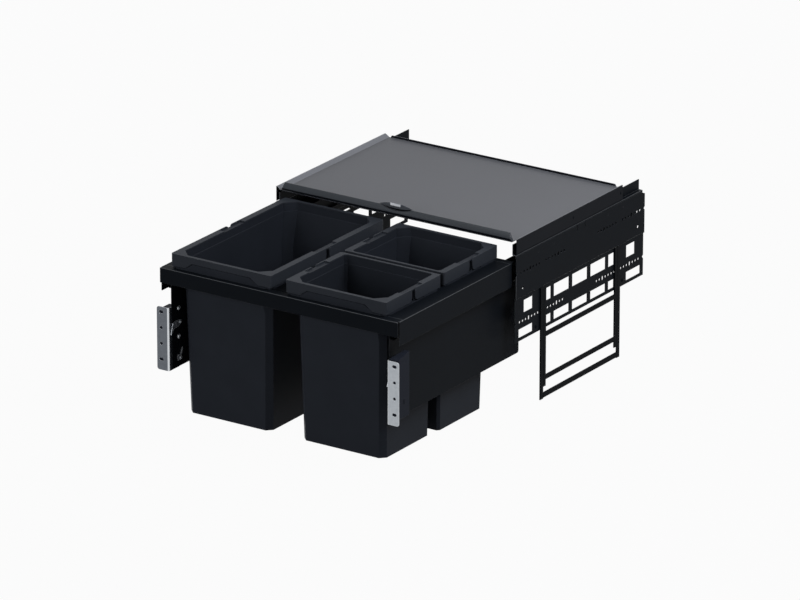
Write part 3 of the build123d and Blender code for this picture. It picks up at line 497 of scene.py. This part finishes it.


# The finishes of a node's faces: the main one, the upward faces' one and the folds' one. Painted light and
# shade come with them: the folds' finish is a lighter copy with a painted highlight, the cover sheet's main
# finish is its painted shade, the lip's and the left cover edge's upward finishes are lit copies, the left
# bracket's plate is painted shade and the grip is painted light.
def facesOf(nodeName):
    slotName = slotOf[nodeName]
    main = {"fixing_bracket_left": special["shadedZinc"], "cover_grip": special["gripPaintedLight"],
            "cover_sheet": finishes["edge_coat"]}.get(nodeName, finishes[slotName])
    fold = rubbedWithPaintedHighlight.get(slotName, main)
    # painted shade on the runners and the centre rail, a deeper black coat on the legs
    if "_leg_" in nodeName or nodeName in sectionNodes:
        main = fold = special["blackCoatAndPaintedShade"]
    # upward faces: the cover's own slate coat beside its painted-shade borders, and lit copies as painted
    # light on the left cover edge and the lip's slope
    upward = {"cover_edge_left": rubbedWithPaintedHighlight["cover_coat"], "cover_edge_right": finishes["cover_coat"],
              "cover_sheet": finishes["cover_coat"], "cover_lip": special["lipPaintedReflection"]}.get(nodeName, main)
    if nodeName == "cover_edge_left":
        fold = rubbedWithPaintedHighlight["cover_coat"]
    elif nodeName == "cover_grip":
        fold = main
    return main, upward, fold


# Ties a piece to its body and hides the CAD node that it replaces.
def declare(piece, nodeName):
    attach(piece, bodyOf[nodeName])
    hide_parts(nodeName)


# These tilts sort faces into painted light and shade: upward faces take the lit copy, and a bracket's bend
# takes its painted highlight
upwardTilt = 0.25  # a normal's z above which a face takes the upward finish
bendTilt = 0.3  # a bracket's face belongs to its bend where its normal leans this far along x and y


# Shows a node by its own shape, with rounded folds and the finishes of its faces.
def dressNode(nodeName):
    settings = families[familyOf(nodeName)]
    shell = nodeShell(nodeName)
    widest = roundShell(shell, settings)
    mesh = bpy.data.meshes.new(nodeName + ".shell")
    for finish in facesOf(nodeName):
        mesh.materials.append(finish)
    for face in shell.faces:
        face.smooth = True
        face.normal_update()
        # upward faces take the lit copy and a bracket's bend the highlighted one: painted light by face
        # direction
        face.material_index = 1 if face.normal.z > upwardTilt else 0
        lean = min(abs(face.normal.x), abs(face.normal.y))
        if nodeName.startswith("fixing_bracket") and lean > bendTilt:
            face.material_index = 2
    shell.to_mesh(mesh)
    shell.free()
    declare(bakeRounded(nodeName + ".dressed", mesh, widest, settings["segments"]), nodeName)


# Adds a modifier that runs a node tree, sets its named inputs and bakes the result.
def bakeTree(name, source, tree, values):
    rough = linkRough(name, source)
    modifier = rough.modifiers.new("tree", "NODES")
    modifier.node_group = tree
    sockets = {item.name: item.identifier for item in tree.interface.items_tree
               if item.item_type == "SOCKET" and item.in_out == "INPUT"}
    for key, value in values.items():
        modifier[sockets[key]] = value
    return bakePiece(name, rough)


# A node tree that takes geometry and the given named inputs, and gives geometry.
def newTree(name, inputs):
    tree = bpy.data.node_groups.new(name, "GeometryNodeTree")
    tree.interface.new_socket("Geometry", in_out="INPUT", socket_type="NodeSocketGeometry")
    for inputName, (kind, value) in inputs.items():
        item = tree.interface.new_socket(inputName, in_out="INPUT", socket_type=kind)
        if value is not None:
            item.default_value = value
    tree.interface.new_socket("Geometry", in_out="OUTPUT", socket_type="NodeSocketGeometry")
    return tree, addNode(tree, "NodeGroupInput").outputs


# Ends a tree: its instances become real faces and take their finish.
def finishTree(tree, placed, finish):
    real = addNode(tree, "GeometryNodeRealizeInstances", {}, {"Geometry": placed.outputs[0]})
    painted = addNode(tree, "GeometryNodeSetMaterial", {}, {"Geometry": real.outputs[0], "Material": finish})
    addNode(tree, "NodeGroupOutput", {}, {0: painted.outputs[0]})


# Sizes in metres. A corner beside a side shorter than wide takes the border's radius. Straight is the sine of
# the turn below which a corner is left out, and weld joins the caps to the drawn sides.
section = {"sheet": 0.0015, "innerRadius": 0.0009, "borderRadius": 0.00035, "foldSteps": 4, "wide": 0.0022,
           "straight": 0.01, "weld": 1e-6}
endSlack = 1e-6  # how far a point may lie off the front end's plane


# Roll-formed sections: an outline with filleted folds, filled and drawn out along the slide's direction.
def makeSectionTree():
    tree, given = newTree("roll-formed section", {
        "Length": ("NodeSocketFloat", 0.44), "Start": ("NodeSocketFloat", 0.0),
        "Fold steps": ("NodeSocketInt", 4), "Finish": ("NodeSocketMaterial", None)})
    outline = addNode(tree, "GeometryNodeMeshToCurve", {}, {"Mesh": given["Geometry"]})
    radius = addNode(tree, "GeometryNodeInputNamedAttribute", {"data_type": "FLOAT", "Name": "foldRadius"})
    fillet = addNode(tree, "GeometryNodeFilletCurve", {"mode": "POLY", "Limit Radius": True},
                     {"Curve": outline.outputs[0], "Count": given["Fold steps"],
                      "Radius": radius.outputs["Attribute"]})
    cap = addNode(tree, "GeometryNodeFillCurve", {"mode": "NGONS"}, {"Curve": fillet.outputs[0]})
    along = addNode(tree, "ShaderNodeCombineXYZ", {}, {"Z": given["Length"]})
    drawn = addNode(tree, "GeometryNodeExtrudeMesh", {"mode": "FACES", "Individual": False},
                    {"Mesh": cap.outputs[0], "Offset": along.outputs[0]})
    back = addNode(tree, "GeometryNodeFlipFaces", {}, {"Mesh": cap.outputs[0]})
    sides = addNode(tree, "GeometryNodeSetShadeSmooth", {"Shade Smooth": True},
                    {"Geometry": drawn.outputs["Mesh"], "Selection": drawn.outputs["Side"]})
    both = addNode(tree, "GeometryNodeJoinGeometry")
    tree.links.new(back.outputs[0], both.inputs[0])
    tree.links.new(sides.outputs[0], both.inputs[0])
    closed = addNode(tree, "GeometryNodeMergeByDistance", {"Distance": section["weld"]},
                     {"Geometry": both.outputs[0]})
    start = addNode(tree, "ShaderNodeCombineXYZ", {}, {"Y": given["Start"]})
    placed = addNode(tree, "GeometryNodeTransform", {"Rotation": (math.pi / 2, 0, 0)},
                     {"Geometry": closed.outputs[0], "Translation": start.outputs[0]})
    finishTree(tree, placed, given["Finish"])
    return tree


# The corners of a node's front end, in order, as x and z.
def endOutline(nodeName):
    shell = nodeShell(nodeName)
    front = min(vert.co.y for vert in shell.verts)
    rim = [edge for edge in shell.edges
           if all(abs(vert.co.y - front) < endSlack for vert in edge.verts)
           and sum(all(abs(v.co.y - front) < endSlack for v in face.verts) for face in edge.link_faces) == 1]
    after = {}
    for edge in rim:
        for here, there in (edge.verts, reversed(edge.verts)):
            after.setdefault(here, []).append(there)
    start = rim[0].verts[0]
    path, last, here = [start], None, start
    while True:
        step = [vert for vert in after[here] if vert is not last][0]
        if step is start:
            break
        path.append(step)
        last, here = here, step
    points = [Vector((vert.co.x, vert.co.z)) for vert in path]
    shell.free()
    area = sum(a.x * b.y - b.x * a.y for a, b in zip(points, points[1:] + points[:1]))
    return points if area > 0 else points[::-1]


# Draws a section from its node's front end to its back end, with a round on each corner.
def drawSection(nodeName, tree):
    low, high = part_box(nodeName)
    corners = endOutline(nodeName)
    kept = []
    for k, point in enumerate(corners):
        before, after = corners[k - 1], corners[(k + 1) % len(corners)]
        turn = (point - before).normalized().cross((after - point).normalized())
        if abs(turn) > section["straight"]:
            kept.append(point)
    radii = []
    for k, point in enumerate(kept):
        before, after = kept[k - 1], kept[(k + 1) % len(kept)]
        turn = (point - before).cross(after - point)
        if min((point - before).length, (after - point).length) < section["wide"]:
            radii.append(section["borderRadius"])
        elif turn > 0:
            radii.append(section["innerRadius"] + section["sheet"])
        else:
            radii.append(section["innerRadius"])
    mesh = bpy.data.meshes.new(nodeName + ".outline")
    count = len(kept)
    rim = [(k, (k + 1) % count) for k in range(count)]
    mesh.from_pydata([(point.x, point.y, 0) for point in kept], rim, [])
    mesh.attributes.new("foldRadius", "FLOAT", "POINT").data.foreach_set("value", radii)
    piece = bakeTree(nodeName + ".drawn", mesh, tree, {
        "Length": high[1] - low[1], "Start": high[1], "Fold steps": section["foldSteps"],
        "Finish": facesOf(nodeName)[0]})
    declare(piece, nodeName)


sectionTree = makeSectionTree()
for nodeName in sectionNodes:
    drawSection(nodeName, sectionTree)
print("sections drawn:", len(sectionNodes))


headSides, domeRings = 28, 5  # how finely a head is divided around its axis and from its rim to its top
shankSides = 18


# Screws and rivets: a domed head, with a cross recess where asked for, on a shank. Each is set on a point
# that holds its direction.
def makeFixingTree():
    tree, given = newTree("pressed fixings", {
        "Head radius": ("NodeSocketFloat", 0.004), "Rim": ("NodeSocketFloat", 0.0008),
        "Dome": ("NodeSocketFloat", 0.0012), "Shank radius": ("NodeSocketFloat", 0.0018),
        "Shank": ("NodeSocketFloat", 0.004), "Arm width": ("NodeSocketFloat", 0.0009),
        "Arm length": ("NodeSocketFloat", 0.0036), "Recessed": ("NodeSocketBool", True),
        "Finish": ("NodeSocketMaterial", None)})
    disc = addNode(tree, "GeometryNodeMeshCylinder", {"Vertices": headSides, "Fill Segments": domeRings},
                   {"Radius": given["Head radius"], "Depth": given["Rim"]})
    place = addNode(tree, "GeometryNodeInputPosition")
    parts = addNode(tree, "ShaderNodeSeparateXYZ", {}, {0: place.outputs[0]})
    flatPlace = addNode(tree, "ShaderNodeCombineXYZ", {}, {"X": parts.outputs["X"], "Y": parts.outputs["Y"]})
    reach = addNode(tree, "ShaderNodeVectorMath", {"operation": "LENGTH"}, {0: flatPlace.outputs[0]})
    share = addNode(tree, "ShaderNodeMath", {"operation": "DIVIDE"},
                    {0: reach.outputs["Value"], 1: given["Head radius"]})
    square = addNode(tree, "ShaderNodeMath", {"operation": "POWER", 1: 2.0}, {0: share.outputs[0]})
    fall = addNode(tree, "ShaderNodeMath", {"operation": "SUBTRACT", 0: 1.0}, {1: square.outputs[0]})
    rise = addNode(tree, "ShaderNodeMath", {"operation": "MULTIPLY"}, {0: fall.outputs[0], 1: given["Dome"]})
    upper = addNode(tree, "FunctionNodeCompare", {"data_type": "FLOAT", "operation": "GREATER_THAN", 1: 0.0},
                    {0: parts.outputs["Z"]})
    lift = addNode(tree, "ShaderNodeCombineXYZ", {}, {"Z": rise.outputs[0]})
    domed = addNode(tree, "GeometryNodeSetPosition", {},
                    {"Geometry": disc.outputs["Mesh"], "Selection": upper.outputs["Result"],
                     "Offset": lift.outputs[0]})
    top = addNode(tree, "ShaderNodeMath", {"operation": "MULTIPLY_ADD", 1: 0.5},
                  {0: given["Rim"], 2: given["Dome"]})
    topPlace = addNode(tree, "ShaderNodeCombineXYZ", {}, {"Z": top.outputs[0]})
    cut = addNode(tree, "GeometryNodeMeshBoolean", {"operation": "DIFFERENCE", "solver": "EXACT"},
                  {"Mesh 1": domed.outputs[0]})
    for across, along in (("Arm length", "Arm width"), ("Arm width", "Arm length")):
        arm = addNode(tree, "ShaderNodeCombineXYZ", {},
                      {"X": given[across], "Y": given[along], "Z": given["Dome"]})
        bar = addNode(tree, "GeometryNodeMeshCube", {}, {"Size": arm.outputs[0]})
        placedBar = addNode(tree, "GeometryNodeTransform", {},
                            {"Geometry": bar.outputs[0], "Translation": topPlace.outputs[0]})
        tree.links.new(placedBar.outputs[0], cut.inputs["Mesh 2"])
    head = addNode(tree, "GeometryNodeSwitch", {"input_type": "GEOMETRY"},
                   {"Switch": given["Recessed"], "False": domed.outputs[0], "True": cut.outputs["Mesh"]})
    halfRim = addNode(tree, "ShaderNodeMath", {"operation": "MULTIPLY", 1: 0.5}, {0: given["Rim"]})
    headPlace = addNode(tree, "ShaderNodeCombineXYZ", {}, {"Z": halfRim.outputs[0]})
    raised = addNode(tree, "GeometryNodeTransform", {},
                     {"Geometry": head.outputs[0], "Translation": headPlace.outputs[0]})
    shank = addNode(tree, "GeometryNodeMeshCylinder", {"Vertices": shankSides},
                    {"Radius": given["Shank radius"], "Depth": given["Shank"]})
    half = addNode(tree, "ShaderNodeMath", {"operation": "MULTIPLY", 1: -0.5}, {0: given["Shank"]})
    shankPlace = addNode(tree, "ShaderNodeCombineXYZ", {}, {"Z": half.outputs[0]})
    lowered = addNode(tree, "GeometryNodeTransform", {},
                      {"Geometry": shank.outputs["Mesh"], "Translation": shankPlace.outputs[0]})
    fixing = addNode(tree, "GeometryNodeJoinGeometry")
    tree.links.new(raised.outputs[0], fixing.inputs[0])
    tree.links.new(lowered.outputs[0], fixing.inputs[0])
    facing = addNode(tree, "GeometryNodeInputNamedAttribute",
                     {"data_type": "FLOAT_VECTOR", "Name": "facing"})
    turn = addNode(tree, "FunctionNodeAlignRotationToVector", {"axis": "Z"},
                   {"Vector": facing.outputs["Attribute"]})
    placed = addNode(tree, "GeometryNodeInstanceOnPoints", {},
                     {"Points": given["Geometry"], "Instance": fixing.outputs[0],
                      "Rotation": turn.outputs[0]})
    finishTree(tree, placed, given["Finish"])
    return tree


# The straight rim's share of a head's height, and the cross recess's arms as shares of the head's radius.
fixings = {
    "cover_screws": {"rim": 0.45, "armLength": 1.1, "armWidth": 0.26, "recessed": True},
    "leg_clamp_screws": {"rim": 0.4, "armLength": 1.1, "armWidth": 0.26, "recessed": True},
    "track_rivets": {"rim": 0.3, "armLength": 1.0, "armWidth": 0.25, "recessed": False},
    "panel_screws": {"rim": 0.35, "armLength": 1.0, "armWidth": 0.22, "recessed": True},
}
rimShare = 0.97  # a point further out than this share of the head's radius is on the rim
tipSlack = 1e-5  # how far a point may lie off the end of the shank


# The points of each separate solid in a node, in an order that is the same each run.
def looseParts(nodeName):
    shell = nodeShell(nodeName)
    left, islands = dict.fromkeys(shell.verts), []
    while left:
        queue = [left.popitem()[0]]
        island = list(queue)
        while queue:
            for edge in queue.pop().link_edges:
                for vert in edge.verts:
                    if vert in left:
                        del left[vert]
                        island.append(vert)
                        queue.append(vert)
        islands.append(np.array([tuple(vert.co) for vert in island]))
    shell.free()
    return islands


# Where a fixing sits, from its solid: it lies along x, and its head is the end with the larger radius.
def fixingFacts(points):
    centre = (points.max(axis=0) + points.min(axis=0)) / 2
    radii = np.hypot(points[:, 1] - centre[1], points[:, 2] - centre[2])
    headRadius = radii.max()
    low, high = points[:, 0].min(), points[:, 0].max()
    rimX = points[radii > rimShare * headRadius, 0]
    side = 1.0 if abs(high - rimX.max()) < abs(rimX.min() - low) else -1.0
    base = rimX.min() if side > 0 else rimX.max()
    tip, end = (high, low) if side > 0 else (low, high)
    shankRadius = radii[np.abs(points[:, 0] - end) < tipSlack].max()
    return {"place": (base, centre[1], centre[2]), "side": side, "headRadius": float(headRadius),
            "head": float(abs(tip - base)), "shank": float(abs(base - end)),
            "shankRadius": float(shankRadius)}


# Sets a group of equal fixings where its node's solids are.
def setFixings(nodeName, tree, settings):
    facts = [fixingFacts(points) for points in looseParts(nodeName)]
    first = facts[0]
    mesh = bpy.data.meshes.new(nodeName + ".points")
    mesh.from_pydata([fact["place"] for fact in facts], [], [])
    mesh.attributes.new("facing", "FLOAT_VECTOR", "POINT").data.foreach_set(
        "vector", [value for fact in facts for value in (fact["side"], 0.0, 0.0)])
    piece = bakeTree(nodeName + ".set", mesh, tree, {
        "Head radius": first["headRadius"], "Rim": first["head"] * settings["rim"],
        "Dome": first["head"] * (1 - settings["rim"]), "Shank radius": first["shankRadius"],
        "Shank": first["shank"], "Arm width": first["headRadius"] * settings["armWidth"],
        "Arm length": first["headRadius"] * settings["armLength"], "Recessed": settings["recessed"],
        "Finish": facesOf(nodeName)[0]})
    declare(piece, nodeName)
    print("fixings set:", nodeName, len(facts))


fixingTree = makeFixingTree()
for nodeName, fixingSettings in fixings.items():
    setFixings(nodeName, fixingTree, fixingSettings)

bevelled = sorted(set(frame["nodes"]) - set(sectionNodes) - set(fixings))
for nodeName in bevelled:
    dressNode(nodeName)
print("pieces dressed:", len(bevelled))
